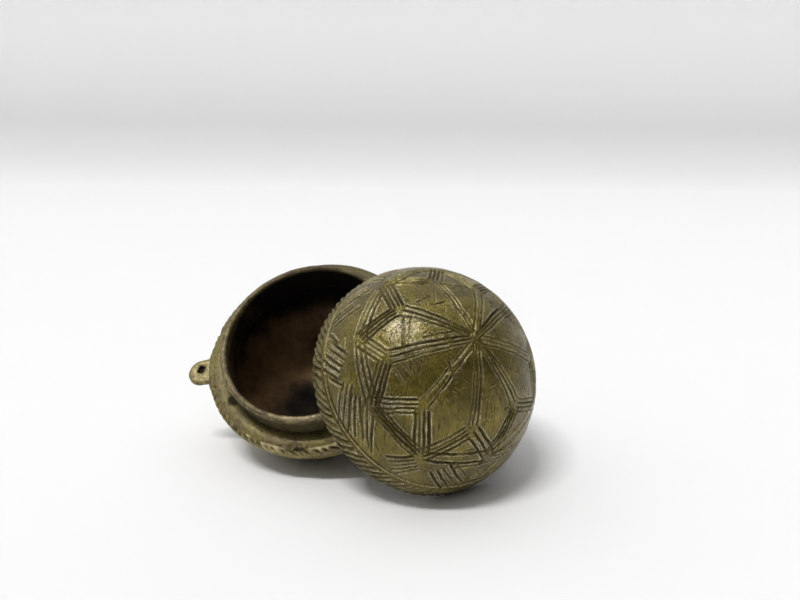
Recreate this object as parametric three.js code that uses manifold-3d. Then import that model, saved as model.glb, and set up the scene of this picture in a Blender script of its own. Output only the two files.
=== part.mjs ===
// A spherical box in two cast halves. The bowl lies tilted on its round side with its mouth
// to the front. The lid leans against it with its rim on the floor and its dome to the front.
// Millimetres, +Z up.
import * as THREE from 'three';
import { mergeVertices } from 'three/addons/utils/BufferGeometryUtils.js';
import ManifoldModule from 'manifold-3d';

const manifold = await ManifoldModule();
manifold.setup();

// Both halves
const ballRadius = 35;
const aroundSteps = 64;

// Bowl shell
const bowlDepth = 33;
const bowlWall = 3;
const footRadius = 5.5;
const shoulderRound = 1.5;
const shoulderDrop = 0.6;
const shoulderThickness = 3.6;
const grooveWidth = 1.3;
const grooveDepth = 0.5;

// Neck collar, seated in a rebate in the shoulder
const neckInnerRadius = 26.6;
const neckWall = 1.7;
const neckWaist = 0.25;
const neckHeight = 7.1;
const neckLipHeight = 2;
const neckLipRound = 0.55;
const neckSeatDepth = 2.4;
const seatClearance = 0.3;

// Lug, a pierced ear beside the mouth
const lugBearing = THREE.MathUtils.degToRad(288);
const lugWidth = 8;
const lugReach = 7.2;
const lugThickness = 2.1;
const lugBevel = 0.45;
const lugDrop = 0.6;
const lugHoleRadius = 1.1;
const lugHoleReach = 3;
const lugHoleSide = -1.2;
const lugClearance = 0.3;

// Lid shell
const lidHeight = 33.6;
const lidWall = 2.8;
const lidNeckClearance = 0.6;
const lidNeckHeadroom = 0.9;
const lidRimRound = 0.5;

// How the two halves lie
const bowlTilt = THREE.MathUtils.degToRad(42.2);
const bowlLean = THREE.MathUtils.degToRad(-102);
const lidTilt = THREE.MathUtils.degToRad(53.4);
const lidLean = THREE.MathUtils.degToRad(-62.2);
const lidBearing = THREE.MathUtils.degToRad(-15.7);
const leanClearance = 0.3;

const neckOuterRadius = neckInnerRadius + neckWall;
const lidRimInnerRadius = neckOuterRadius + lidNeckClearance;

// Points of an arc from one angle to another, about (centreR, centreZ), ends included.
function arc(centreR, centreZ, radiusR, radiusZ, from, to, steps) {
  const points = [];
  for (let i = 0; i <= steps; i += 1) {
    const angle = from + ((to - from) * i) / steps;
    points.push([centreR + radiusR * Math.cos(angle), centreZ + radiusZ * Math.sin(angle)]);
  }
  return points;
}

// Turns a profile of [radius, height] points about Z. The profile runs anticlockwise.
function turned(profile) {
  const points = profile.map(([r, z]) => new THREE.Vector2(Math.max(0, r), z));
  const lathe = new THREE.LatheGeometry(points, aroundSteps);
  lathe.rotateX(Math.PI / 2);
  return lathe;
}

// The bowl's outline, from its foot up to the shoulder's flat top, grown by a margin.
function bowlOutside(margin) {
  const radiusR = ballRadius + margin;
  const radiusZ = bowlDepth + margin;
  const footAngle = -Math.acos(footRadius / radiusR);
  const edgeDrop = shoulderDrop + shoulderRound;
  const roundAngle = -Math.asin(edgeDrop / radiusZ);
  const side = arc(0, 0, radiusR, radiusZ, footAngle, roundAngle, 20);
  const edge = arc(ballRadius - shoulderRound, -edgeDrop, shoulderRound + margin,
    shoulderRound + margin, 0, Math.PI / 2, 4).slice(1);
  return side.concat(edge);
}

// The shoulder's slightly domed top, then the groove at the collar's foot.
function shoulderTop() {
  const seatRadius = neckOuterRadius + seatClearance;
  const crownRadius = seatRadius + grooveWidth;
  const edgeRadius = ballRadius - shoulderRound;
  const points = [];
  for (const share of [1 / 3, 2 / 3, 1]) {
    points.push([edgeRadius + share * (crownRadius - edgeRadius), -shoulderDrop * (1 - share) ** 2]);
  }
  points.push([seatRadius + 0.4 * grooveWidth, -0.75 * grooveDepth]);
  points.push([seatRadius, -grooveDepth]);
  return points;
}

function bowlShellProfile() {
  const outside = bowlOutside(0);
  const footZ = outside[0][1];
  const seatRadius = neckOuterRadius + seatClearance;
  const insideRadius = ballRadius - bowlWall;
  const insideDepth = bowlDepth - bowlWall;
  const startAngle = -Math.asin((shoulderThickness + 2.6) / insideDepth);
  const inside = arc(0, 0, insideRadius, insideDepth, startAngle, -Math.PI / 2, 16);
  const mouth = [
    [seatRadius, -neckSeatDepth - seatClearance],
    [neckInnerRadius, -neckSeatDepth - seatClearance],
    [neckInnerRadius, -shoulderThickness],
    [(neckInnerRadius + inside[0][0]) / 2, -shoulderThickness - 0.7],
  ];
  return [[0, footZ]].concat(outside, shoulderTop(), mouth, inside);
}

function neckProfile() {
  const top = neckHeight - neckLipRound;
  const lip = arc(neckOuterRadius - neckLipRound, top, neckLipRound, neckLipRound, 0, Math.PI / 2, 3);
  const inner = arc(neckInnerRadius + neckLipRound, top, neckLipRound, neckLipRound, Math.PI / 2, Math.PI, 3);
  const waistRadius = neckOuterRadius - neckWaist;
  const outer = [
    [neckInnerRadius, -neckSeatDepth],
    [neckOuterRadius, -neckSeatDepth],
    [neckOuterRadius, 0],
    [waistRadius, 0.6],
    [waistRadius, neckHeight - neckLipHeight],
    [neckOuterRadius, neckHeight - 0.6 * neckLipHeight],
  ];
  return outer.concat(lip, inner, [[neckInnerRadius, -neckSeatDepth]]);
}

function lidProfile() {
  const radius = (ballRadius ** 2 + lidHeight ** 2) / (2 * lidHeight);
  const centreZ = lidHeight - radius;
  const rimAngle = Math.asin((lidRimRound - centreZ) / radius);
  const dome = arc(0, centreZ, radius, radius, rimAngle, Math.PI / 2, 18);
  const insideRadius = radius - lidWall;
  const boreHeight = neckHeight + lidNeckHeadroom;
  const startAngle = Math.asin((boreHeight + 1.4 - centreZ) / insideRadius);
  const inside = arc(0, centreZ, insideRadius, insideRadius, Math.PI / 2, startAngle, 15);
  const rim = [
    [lidRimInnerRadius, boreHeight],
    [lidRimInnerRadius, lidRimRound],
    [lidRimInnerRadius + 0.3 * lidRimRound, 0.3 * lidRimRound],
    [lidRimInnerRadius + lidRimRound, 0],
    [ballRadius - lidRimRound, 0],
  ];
  return dome.concat(inside, rim, [dome[0]]);
}

function toManifold(geometry) {
  const bare = new THREE.BufferGeometry();
  bare.setAttribute('position', geometry.getAttribute('position').clone());
  if (geometry.index) bare.setIndex(geometry.index.clone());
  const welded = mergeVertices(bare, 1e-5);
  const corners = Array.from(welded.index.array);
  const kept = [];
  for (let i = 0; i < corners.length; i += 3) {
    const [a, b, c] = corners.slice(i, i + 3);
    if (a !== b && b !== c && c !== a) kept.push(a, b, c);
  }
  const mesh = new manifold.Mesh({
    numProp: 3,
    vertProperties: new Float32Array(welded.getAttribute('position').array),
    triVerts: new Uint32Array(kept),
  });
  mesh.merge();
  return new manifold.Manifold(mesh);
}

function toGeometry(solid) {
  const mesh = solid.getMesh();
  const geometry = new THREE.BufferGeometry();
  geometry.setAttribute('position', new THREE.BufferAttribute(mesh.vertProperties, 3));
  geometry.setIndex(new THREE.BufferAttribute(mesh.triVerts, 1));
  geometry.computeVertexNormals();
  return geometry;
}

// A flat ear with a round end and a bevelled edge, cut to the bowl's side at its root.
function lugGeometry() {
  const half = lugWidth / 2 - lugBevel;
  const endCentre = ballRadius + lugReach - lugWidth / 2;
  const outline = new THREE.Shape();
  outline.moveTo(ballRadius - bowlWall, -half);
  outline.lineTo(endCentre, -half);
  outline.absarc(endCentre, 0, half, -Math.PI / 2, Math.PI / 2, false);
  outline.lineTo(ballRadius - bowlWall, half);
  outline.closePath();
  const hole = new THREE.Path();
  hole.absarc(ballRadius + lugHoleReach, lugHoleSide, lugHoleRadius + lugBevel, 0, Math.PI * 2, true);
  outline.holes.push(hole);
  const plate = new THREE.ExtrudeGeometry(outline, {
    depth: lugThickness - 2 * lugBevel,
    bevelEnabled: true,
    bevelThickness: lugBevel,
    bevelSize: lugBevel,
    bevelSegments: 1,
    curveSegments: 12,
  });
  plate.translate(0, 0, lugBevel - lugDrop - lugThickness);
  plate.rotateZ(lugBearing);
  const outside = bowlOutside(lugClearance);
  const cutter = [[0, outside[0][1]]].concat(outside, [[0, outside[outside.length - 1][1]]]);
  return toGeometry(toManifold(plate).subtract(toManifold(turned(cutter))));
}

// Signed distance from a point to a closed profile, negative inside it.
function profileDistance(profile, r, z) {
  let nearest = Infinity;
  let inside = false;
  for (let i = 0; i < profile.length; i += 1) {
    const [ar, az] = profile[i];
    const [br, bz] = profile[(i + 1) % profile.length];
    const lengthSquared = (br - ar) ** 2 + (bz - az) ** 2;
    if (lengthSquared > 0) {
      const along = ((r - ar) * (br - ar) + (z - az) * (bz - az)) / lengthSquared;
      const share = Math.min(1, Math.max(0, along));
      nearest = Math.min(nearest, Math.hypot(ar + share * (br - ar) - r, az + share * (bz - az) - z));
    }
    if (az > z !== bz > z && r < ar + ((z - az) / (bz - az)) * (br - ar)) inside = !inside;
  }
  return inside ? -nearest : nearest;
}

// The least distance from the turned points of one profile to the solid of another.
function pointsToSolid(points, fromPlace, profile, toPlace) {
  const into = toPlace.clone().invert().multiply(fromPlace);
  const spot = new THREE.Vector3();
  let least = Infinity;
  for (const [r, z] of points) {
    for (let i = 0; i < 4 * aroundSteps; i += 1) {
      const angle = (Math.PI * i) / (2 * aroundSteps);
      spot.set(r * Math.cos(angle), r * Math.sin(angle), z).applyMatrix4(into);
      const radial = Math.hypot(spot.x, spot.y);
      const far = Math.hypot(radial, spot.z) > ballRadius + neckHeight;
      if (!far) least = Math.min(least, profileDistance(profile, radial, spot.z));
    }
  }
  return least;
}

function piece(name, geometry, material) {
  const mesh = new THREE.Mesh(geometry, material);
  mesh.name = name;
  return mesh;
}

// A group tilted from upright towards a compass direction.
function tilted(name, tilt, lean, pieces) {
  const group = new THREE.Group();
  group.name = name;
  group.rotation.set(0, tilt, lean, 'ZYX');
  group.add(...pieces);
  group.updateMatrixWorld(true);
  return group;
}

// Lowers or lifts a group until its lowest point is on the floor.
function restOnFloor(group) {
  group.updateMatrixWorld(true);
  group.position.z -= new THREE.Box3().setFromObject(group, true).min.z;
  group.updateMatrixWorld(true);
}

// Slides the lid out along its bearing until it clears the bowl by the lean clearance.
function leanLid(lid, bowl) {
  const bowlProfile = bowlShellProfile();
  const collarProfile = neckProfile();
  const capProfile = lidProfile();
  const gapAt = (reach) => {
    lid.position.x = bowl.position.x + reach * Math.cos(lidBearing);
    lid.position.y = bowl.position.y + reach * Math.sin(lidBearing);
    lid.updateMatrixWorld(true);
    return Math.min(
      pointsToSolid(bowlProfile, bowl.matrixWorld, capProfile, lid.matrixWorld),
      pointsToSolid(collarProfile, bowl.matrixWorld, capProfile, lid.matrixWorld),
      pointsToSolid(capProfile, lid.matrixWorld, bowlProfile, bowl.matrixWorld),
      pointsToSolid(capProfile, lid.matrixWorld, collarProfile, bowl.matrixWorld),
    );
  };
  let near = ballRadius * 0.8;
  let far = ballRadius * 2.2;
  for (let i = 0; i < 14; i += 1) {
    const middle = (near + far) / 2;
    if (gapAt(middle) < leanClearance) near = middle;
    else far = middle;
  }
  gapAt(far);
}

function buildBox() {
  const castBrass = new THREE.MeshStandardMaterial({ color: 0x8a744a, roughness: 0.5, metalness: 0.85 });
  const bowlBrass = new THREE.MeshStandardMaterial({ color: 0x7d6645, roughness: 0.5, metalness: 0.85 });
  const wornBrass = new THREE.MeshStandardMaterial({ color: 0xa08a5c, roughness: 0.45, metalness: 0.85 });
  const collarBrass = new THREE.MeshStandardMaterial({ color: 0x8b7b62, roughness: 0.5, metalness: 0.85 });

  const bowl = tilted('bowl', bowlTilt, bowlLean, [
    piece('bowl_shell', turned(bowlShellProfile()), bowlBrass),
    piece('bowl_neck', turned(neckProfile()), collarBrass),
    piece('lug', lugGeometry(), wornBrass),
  ]);
  const lid = tilted('lid', lidTilt, lidLean, [
    piece('lid_shell', turned(lidProfile()), castBrass),
  ]);
  restOnFloor(bowl);
  restOnFloor(lid);
  leanLid(lid, bowl);

  const box = new THREE.Group();
  box.name = 'spherical_box';
  box.add(bowl, lid);
  box.updateMatrixWorld(true);
  const extent = new THREE.Box3().setFromObject(box, true);
  const middle = extent.getCenter(new THREE.Vector3());
  box.position.set(-middle.x, -middle.y, -extent.min.z);
  box.updateMatrixWorld(true);
  return box;
}

export default buildBox();
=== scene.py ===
import math

import bmesh
import bpy
import numpy as np
from mathutils import Matrix, Vector


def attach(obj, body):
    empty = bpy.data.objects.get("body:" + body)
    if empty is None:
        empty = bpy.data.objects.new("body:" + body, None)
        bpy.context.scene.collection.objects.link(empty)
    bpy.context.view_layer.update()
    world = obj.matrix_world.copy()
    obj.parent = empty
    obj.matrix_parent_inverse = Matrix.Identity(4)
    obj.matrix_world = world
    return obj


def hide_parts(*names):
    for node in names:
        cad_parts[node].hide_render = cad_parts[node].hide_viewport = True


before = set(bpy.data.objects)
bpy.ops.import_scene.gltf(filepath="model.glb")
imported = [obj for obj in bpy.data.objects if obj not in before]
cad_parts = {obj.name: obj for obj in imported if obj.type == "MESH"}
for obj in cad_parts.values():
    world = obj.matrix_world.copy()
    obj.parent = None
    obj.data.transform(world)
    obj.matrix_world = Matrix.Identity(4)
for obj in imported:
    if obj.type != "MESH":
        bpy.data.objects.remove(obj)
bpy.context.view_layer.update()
scene = bpy.context.scene
print("frame: loaded")


# Lays nodes in a tree: w.node(kind, {input: value or socket}, property=value)
class Wiring:
    def __init__(self, tree):
        self.tree = tree

    # inputs of the tree, {name: default}
    def takes(self, kind, values):
        for name, default in values.items():
            socketType = "NodeSocket" + kind
            socket = self.tree.interface.new_socket(name=name, in_out="INPUT", socket_type=socketType)
            if default is not None:
                socket.default_value = default

    def gives(self, kind, *names):
        for name in names:
            self.tree.interface.new_socket(name=name, in_out="OUTPUT", socket_type="NodeSocket" + kind)

    def node(self, kind, inputs=None, **settings):
        made = self.tree.nodes.new(kind)
        for name, value in settings.items():
            setattr(made, name, value)
        for key, value in (inputs or {}).items():
            self.feed(made.inputs[key], value)
        return made

    def feed(self, socket, value):
        if isinstance(value, bpy.types.NodeSocket):
            self.tree.links.new(value, socket)
        else:
            socket.default_value = value

    def math(self, operation, *values, clamp=False):
        made = self.node("ShaderNodeMath", {}, operation=operation, use_clamp=clamp)
        for socket, value in zip(made.inputs, values):
            self.feed(socket, value)
        return made.outputs[0]

    def plus(self, a, b):
        return self.math("ADD", a, b)

    def minus(self, a, b):
        return self.math("SUBTRACT", a, b)

    def times(self, a, b):
        return self.math("MULTIPLY", a, b)

    def over(self, a, b):
        return self.math("DIVIDE", a, b)

    def timesPlus(self, a, b, c):
        return self.math("MULTIPLY_ADD", a, b, c)

    def most(self, a, b):
        return self.math("MAXIMUM", a, b)

    def least(self, a, b):
        return self.math("MINIMUM", a, b)

    # a field about 0.5 as a swing about zero
    def about(self, value):
        return self.minus(value, 0.5)

    def vector(self, operation, *values, scale=None):
        made = self.node("ShaderNodeVectorMath", {}, operation=operation)
        for socket, value in zip(made.inputs, values):
            self.feed(socket, value)
        if scale is not None:
            self.feed(made.inputs["Scale"], scale)
        return made.outputs["Vector"]

    def split(self, place):
        return self.node("ShaderNodeSeparateXYZ", {0: place}).outputs

    def ramp(self, value, low, high, toLow=0.0, toHigh=1.0, shape="SMOOTHSTEP"):
        made = self.node("ShaderNodeMapRange", {"Value": value, "From Min": low, "From Max": high,
                                               "To Min": toLow, "To Max": toHigh}, interpolation_type=shape)
        return made.outputs["Result"]

    def noise(self, where, scale, detail=2.0, rough=0.5):
        return self.node("ShaderNodeTexNoise", {"Vector": where, "Scale": scale, "Detail": detail,
                                                "Roughness": rough}).outputs["Fac"]

    def mix(self, share, first, second):
        made = self.node("ShaderNodeMix", {}, data_type="RGBA")
        for index, value in ((0, share), (6, first), (7, second)):
            self.feed(made.inputs[index], value)
        return made.outputs[2]

    # 1 at zero, 0 from one on, with straight sides
    def vee(self, value):
        return self.math("SUBTRACT", 1.0, self.math("ABSOLUTE", value), clamp=True)

    # the same with soft shoulders
    def bell(self, value):
        rest = self.minus(1.0, self.math("MULTIPLY", value, value, clamp=True))
        return self.times(rest, rest)

    def position(self):
        return self.node("GeometryNodeInputPosition").outputs[0]

    def field(self, name, kind="FLOAT"):
        return self.node("GeometryNodeInputNamedAttribute", {"Name": name}, data_type=kind).outputs[0]

    def store(self, body, name, value):
        return self.node("GeometryNodeStoreNamedAttribute", {"Geometry": body, "Name": name, "Value": value},
                         data_type="FLOAT", domain="POINT").outputs[0]

    def push(self, body, way, far):
        offset = self.vector("SCALE", way, scale=far)
        return self.node("GeometryNodeSetPosition", {"Geometry": body, "Offset": offset}).outputs[0]

    def random(self, low, high, seed, more=None):
        inputs = {2: low, 3: high, "Seed": seed, **(more or {})}
        return self.node("FunctionNodeRandomValue", inputs).outputs[1]

    # what the point of some geometry that is nearest to a spot holds
    def nearest(self, geometry, value, spot):
        index = self.node("GeometryNodeSampleNearest", {"Geometry": geometry, "Sample Position": spot},
                          domain="POINT").outputs[0]
        return self.node("GeometryNodeSampleIndex", {"Geometry": geometry, "Value": value, "Index": index},
                         data_type="FLOAT", domain="POINT").outputs[0]


def setInputs(modifier, values):
    left = dict(values)
    for item in modifier.node_group.interface.items_tree:
        if item.item_type == "SOCKET" and item.in_out == "INPUT" and item.name in left:
            modifier[item.identifier] = left.pop(item.name)
    if left:
        raise ValueError("no such input: " + ", ".join(left))


# how the two halves lie, in millimetres and degrees
bowlLie = {"at": (-14.266, 4.873, 33.917), "tilt": 42.2, "lean": -102.0}
lidLie = {"at": (20.944, -5.024, 27.781), "tilt": 53.4, "lean": -62.2}


def lieMatrix(lie):
    lean = Matrix.Rotation(math.radians(lie["lean"]), 4, "Z")
    tilt = Matrix.Rotation(math.radians(lie["tilt"]), 4, "Y")
    return Matrix.Translation(Vector(lie["at"]) * 0.001) @ (lean @ tilt) @ Matrix.Scale(0.001, 4)


def placed(name, data):
    made = bpy.data.objects.new(name, data)
    scene.collection.objects.link(made)
    return made


def putField(mesh, label, values, kind="FLOAT"):
    values = np.asarray(values, np.int32 if kind == "INT" else np.float32).ravel()
    key = "vector" if kind == "FLOAT_VECTOR" else "value"
    mesh.attributes.new(label, kind, "POINT").data.foreach_set(key, values)


def turnOutward(mesh):
    work = bmesh.new()
    work.from_mesh(mesh)
    bmesh.ops.recalc_face_normals(work, faces=work.faces)
    work.to_mesh(mesh)
    work.free()


# degrees from one bearing to another, from -180 to 180
def fromBearing(turn, at):
    return (turn - at + 180) % 360 - 180


def loopAngles(count):
    return -math.pi / 4 + 2 * math.pi * np.arange(count) / count


# A closed body in millimetres, upright about z, built ring by ring
class Shell:
    def __init__(self):
        self.points, self.leads, self.marks, self.faces, self.count = [], [], [], [], 0

    # lead is the way out of the surface (radial, z); dress marks the decorated outside, border is the
    # distance in mm above the border line, rim the distance from the rim, inside marks the hollow
    def add(self, radius, height, angle, lead, dress=0.0, border=99.0, rim=0.0, inside=0.0):
        size = np.broadcast(radius, height, angle).size
        radius, height, angle, out, up = [np.broadcast_to(v, size) for v in (radius, height, angle, *lead)]
        turn = np.column_stack((np.cos(angle), np.sin(angle)))
        self.points.append(np.column_stack((turn * radius[:, None], height)))
        long = np.hypot(out, up)
        self.leads.append(np.column_stack((turn * (out / long)[:, None], up / long)))
        self.marks.append(np.column_stack([np.broadcast_to(v, size) for v in (dress, border, rim, inside)]))
        first = self.count
        self.count += size
        return np.arange(first, self.count)

    def bridge(self, loops):
        for one, other in zip(loops, loops[1:]):
            self.faces += np.column_stack((one, other, np.roll(other, -1), np.roll(one, -1))).tolist()

    # joins a dense loop to one with every nth point
    def thin(self, dense, coarse):
        step = len(dense) // len(coarse)
        for j in range(len(coarse)):
            run = [int(dense[(j * step + i) % len(dense)]) for i in range(step + 1)]
            self.faces.append(run + [int(coarse[(j + 1) % len(coarse)]), int(coarse[j])])

    # a round cap of squares; place(share of the way out, angle) adds its points. Gives back its edge.
    def disc(self, side, place):
        line = np.linspace(-1, 1, side + 1)
        u, v = [a.ravel() for a in np.meshgrid(line, line, indexing="ij")]
        wide = np.abs(u) >= np.abs(v)
        sideways = math.pi / 4 * v / np.where(u == 0, 1, u)
        upright = math.pi / 2 - math.pi / 4 * u / np.where(v == 0, 1, v)
        angle = np.where(wide, sideways, upright) + np.where(np.where(wide, u, v) < 0, math.pi, 0)
        index = place(np.maximum(np.abs(u), np.abs(v)), angle).reshape(side + 1, side + 1)
        corners = (index[:-1, :-1], index[1:, :-1], index[1:, 1:], index[:-1, 1:])
        self.faces += np.column_stack([a.ravel() for a in corners]).tolist()
        return np.concatenate((index[-1, :-1], index[::-1, -1][:-1], index[0, ::-1][:-1], index[:-1, 0]))

    # extra gives more fields from the points
    def build(self, name, extra):
        mesh = bpy.data.meshes.new(name)
        points = np.concatenate(self.points)
        mesh.from_pydata(points.tolist(), [], self.faces)
        turnOutward(mesh)
        marks = np.concatenate(self.marks)
        for column, label in enumerate(("dress", "border", "rimHeight", "inside")):
            putField(mesh, label, marks[:, column])
        for label, values in extra(points).items():
            putField(mesh, label, values)
        putField(mesh, "lead", np.concatenate(self.leads), "FLOAT_VECTOR")
        mesh.shade_smooth()
        return placed(name, mesh)


# a tree that takes a body, some values and the finishes, and gives the body back
def bodyTree(name, values):
    w = Wiring(bpy.data.node_groups.new(name, "GeometryNodeTree"))
    w.takes("Geometry", {"Body": None})
    w.takes("Float", values)
    w.takes("Int", {"Seed": 1})
    w.takes("Material", {"Finish": None, "Inside finish": None})
    w.gives("Geometry", "Body")
    return w


def endTree(w, body, ask):
    inside = w.node("FunctionNodeCompare", {"A": w.field("inside"), "B": 0.5}, operation="GREATER_THAN",
                    data_type="FLOAT").outputs[0]
    body = w.node("GeometryNodeRealizeInstances", {"Geometry": body}).outputs[0]
    body = w.node("GeometryNodeSetMaterial", {"Geometry": body, "Material": ask["Finish"]}).outputs[0]
    body = w.node("GeometryNodeSetMaterial", {"Geometry": body, "Selection": inside,
                                              "Material": ask["Inside finish"]}).outputs[0]
    w.feed(w.node("NodeGroupOutput").inputs[0], body)
    return w.tree


# Cuts bundles of chisel strokes into a round body. The strokes object holds one chain of points for each
# bundle, with the number of strokes and their spread at each point.
def engravingTree():
    w = bodyTree("chiselStrokes", {"Depth": 0.3, "Half width": 0.45, "Burr": 0.12, "Wander": 0.8,
                                   "Chatter": 0.7, "Border gap": 1.5, "Border half width": 0.5,
                                   "Border ridge": 0.42})
    w.takes("Object", {"Strokes": None})
    w.takes("Vector", {"Ball centre": (0, 0, 0), "Ball size": (35, 35, 35)})
    ask = w.node("NodeGroupInput").outputs

    # each chain becomes its strokes, side by side on the ball
    held = w.node("GeometryNodeObjectInfo", {"Object": ask["Strokes"]}).outputs["Geometry"]
    curve = w.node("GeometryNodeMeshToCurve", {"Mesh": held}).outputs[0]
    curve = w.node("GeometryNodeResampleCurve", {"Curve": curve, "Length": 0.45}, mode="LENGTH").outputs[0]
    strokes = w.field("strokes", "INT")
    copies = w.node("GeometryNodeDuplicateElements", {"Geometry": curve, "Amount": strokes}, domain="SPLINE")
    number = copies.outputs["Duplicate Index"]
    place = w.position()
    out = w.vector("SUBTRACT", place, ask["Ball centre"])
    tangent = w.node("GeometryNodeInputTangent").outputs[0]
    side = w.vector("NORMALIZE", w.vector("CROSS_PRODUCT", out, tangent))
    share = w.about(w.over(number, w.most(w.minus(strokes, 1.0), 1.0)))
    drift = w.node("ShaderNodeCombineXYZ", {"X": w.times(number, 17.3), "Y": ask["Seed"]}).outputs[0]
    sway = w.about(w.noise(w.vector("ADD", place, drift), 0.22, 1.0))
    aside = w.timesPlus(share, w.field("spread"), w.times(sway, ask["Wander"]))
    moved = w.push(copies.outputs["Geometry"], side, aside)
    onBall = w.vector("NORMALIZE", w.vector("DIVIDE", out, ask["Ball size"]))
    onBall = w.vector("ADD", w.vector("MULTIPLY", onBall, ask["Ball size"]), ask["Ball centre"])
    moved = w.node("GeometryNodeSetPosition", {"Geometry": moved, "Position": onBall}).outputs[0]

    # uneven lengths and forces; tip falls to nothing at both ends of a stroke
    early = w.random(0.0, 0.025, ask["Seed"])
    late = w.random(0.975, 1.0, w.plus(ask["Seed"], 5.0))
    moved = w.node("GeometryNodeTrimCurve", {"Curve": moved, 2: early, 3: late}).outputs[0]
    along = w.node("GeometryNodeSplineParameter").outputs["Length"]
    whole = w.node("GeometryNodeSplineLength").outputs["Length"]
    fromEnd = w.least(along, w.minus(whole, along))
    force = w.random(0.6, 1.25, w.plus(ask["Seed"], 9.0))
    force = w.node("GeometryNodeFieldOnDomain", {"Value": force}, domain="CURVE",
                   data_type="FLOAT").outputs[0]
    tip = w.times(w.ramp(fromEnd, -0.4, 0.9), w.times(force, w.field("force")))
    wires = w.node("GeometryNodeCurveToMesh", {"Curve": w.store(moved, "tip", tip)}).outputs[0]

    # a cut near each wire, with a thin burr beside it, and the border's two lines with a ridge between them
    spot = w.position()
    distance = w.node("GeometryNodeProximity", {"Geometry": wires, "Sample Position": spot},
                      target_element="EDGES").outputs["Distance"]
    tipHere = w.nearest(wires, w.field("tip"), spot)
    width = w.times(ask["Half width"], w.timesPlus(tipHere, 0.6, 0.4))
    ratio = w.timesPlus(w.about(w.noise(spot, 1.3, 2.0)), ask["Chatter"], w.over(distance, width))
    cut = w.times(w.vee(ratio), w.least(tipHere, 1.25))
    lip = w.times(w.bell(w.over(w.minus(ratio, 1.25), 0.6)), tipHere)
    border = w.field("border")
    rings = [w.vee(w.over(w.minus(border, away), ask["Border half width"]))
             for away in (0.0, ask["Border gap"])]
    rings = w.most(*rings)
    middle = w.minus(border, w.times(ask["Border gap"], 0.5))
    cord = w.bell(w.over(middle, ask["Border ridge"]))
    worn = w.ramp(w.noise(spot, 0.12, 2.0), 0.3, 0.62, 0.55, 1.0)
    dress = w.field("dress")
    cut = w.times(w.times(w.most(cut, rings), worn), dress)
    lip = w.times(w.times(lip, w.minus(1.0, w.most(cut, rings))), dress)
    lip = w.most(lip, w.times(cord, w.minus(1.0, cut)))
    rise = w.minus(w.times(lip, ask["Burr"]), w.times(cut, ask["Depth"]))
    # ridge later brightens the burrs and the cord in the brass finish: worn metal and painted highlight
    body = w.store(w.store(ask["Body"], "carved", cut), "ridge", lip)
    return endTree(w, w.push(body, w.field("lead", "FLOAT_VECTOR"), rise), ask)


# A band of slanted notches round a rim, like a twisted rope, with the border line above it
def ropeTree():
    w = bodyTree("ropeNotches", {"Low": 0.4, "High": 5.4, "Slant": 0.5, "Depth": 0.75, "Cut share": 0.4,
                                 "Bulge": 0.26, "Line depth": 0.3, "Border half width": 0.5, "Sway": 1.1})
    w.takes("Int", {"Notches": 108})
    ask = w.node("NodeGroupInput").outputs

    # which notch a spot belongs to, and how far it is from the notch's middle
    spot = w.position()
    parts = w.split(spot)
    turn = w.over(w.math("ARCTAN2", parts["Y"], parts["X"]), 2 * math.pi)
    rim = w.field("rimHeight")
    phase = w.minus(w.times(turn, ask["Notches"]), w.times(rim, ask["Slant"]))
    phase = w.plus(phase, w.times(w.about(w.noise(spot, 0.25, 1.0)), ask["Sway"]))
    index = w.math("ROUND", phase)
    away = w.math("ABSOLUTE", w.minus(phase, index))
    notch = {"ID": w.math("FLOORED_MODULO", index, ask["Notches"])}
    force = w.random(0.65, 1.1, ask["Seed"], notch)
    high = w.plus(ask["High"], w.random(-0.5, 0.5, w.plus(ask["Seed"], 3.0), notch))
    window = w.times(w.ramp(rim, w.minus(ask["Low"], 0.5), w.plus(ask["Low"], 0.3)),
                     w.ramp(rim, w.minus(high, 0.9), high, 1.0, 0.0))

    ratio = w.timesPlus(w.about(w.noise(spot, 1.4, 2.0)), 0.35, w.over(away, ask["Cut share"]))
    cut = w.times(w.vee(w.most(ratio, 0.0)), w.times(window, force))
    cut = w.times(cut, w.ramp(w.field("rubbed"), 0.95, 1.3, 1.0, 0.0))
    worn = w.ramp(w.noise(spot, 0.12, 2.0), 0.3, 0.62, 0.55, 1.0)
    line = w.times(w.vee(w.over(w.field("border"), ask["Border half width"])), worn)
    dress = w.field("dress")
    cut, line = w.times(cut, dress), w.times(line, dress)
    top = w.times(w.times(w.ramp(away, 0.15, 0.5), window), w.times(dress, force))
    sink = w.most(w.times(cut, ask["Depth"]), w.times(line, ask["Line depth"]))
    rise = w.minus(w.times(top, ask["Bulge"]), sink)
    # ridge later brightens the notch tops in the brass finish: worn metal and painted highlight
    body = w.store(w.store(ask["Body"], "carved", w.most(cut, line)), "ridge", top)
    return endTree(w, w.push(body, w.field("lead", "FLOAT_VECTOR"), rise), ask)


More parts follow.
